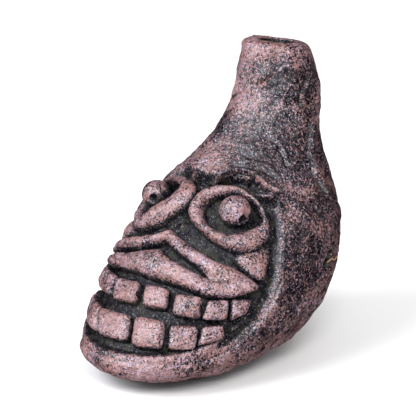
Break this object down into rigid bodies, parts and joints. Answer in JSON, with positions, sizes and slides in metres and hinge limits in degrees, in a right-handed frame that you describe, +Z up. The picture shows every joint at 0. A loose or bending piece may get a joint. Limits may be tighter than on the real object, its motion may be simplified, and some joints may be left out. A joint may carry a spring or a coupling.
{
  "type": "ocarina",
  "caption": "Hand-made clay whistle shaped as a grinning skull head, with a short blowpipe rising at the back, bulging ringed eyes and two rows of square teeth.",
  "frame": {"origin": "on the floor, on the flat under the jaw that the head rests on, on its left-right middle plane", "axes": "+Z up, along the blowpipe; the face looks along -Y; +X is the viewer's right when facing the face"},
  "size_m": [0.0628, 0.0895, 0.0893],
  "materials": {
    "clay_rose": "dull waxed rose clay with black rubbed into the hollows",
    "clay_dark": "black-stained rose clay, rubbed back on the high spots, faint wax sheen",
    "clay_plain": "unstained fired clay, matt"
  },
  "bodies": {
    "root": {"face_shell": "clay_dark", "chamber_upper_cup": "clay_plain", "chamber_lower_cup": "clay_plain", "chamber_collar": "clay_plain", "back_shell": "clay_rose", "blowpipe": "clay_rose", "brow_left": "clay_rose", "brow_right": "clay_rose", "cheek_left": "clay_rose", "cheek_right": "clay_rose", "eye_ring_left": "clay_rose", "eye_ring_right": "clay_rose", "eyeball_left": "clay_rose", "eyeball_right": "clay_rose", "lower_lip": "clay_rose", "upper_fold": "clay_rose", "upper_lip": "clay_rose", "lower_tooth_1": "clay_rose", "lower_tooth_2": "clay_rose", "lower_tooth_3": "clay_rose", "lower_tooth_4": "clay_rose", "lower_tooth_5": "clay_rose", "lower_tooth_6": "clay_rose", "upper_tooth_1": "clay_rose", "upper_tooth_2": "clay_rose", "upper_tooth_3": "clay_rose", "upper_tooth_4": "clay_rose", "upper_tooth_5": "clay_rose", "upper_tooth_6": "clay_rose", "upper_tooth_7": "clay_rose", "upper_tooth_8": "clay_rose"}
  },
  "joints": []
}
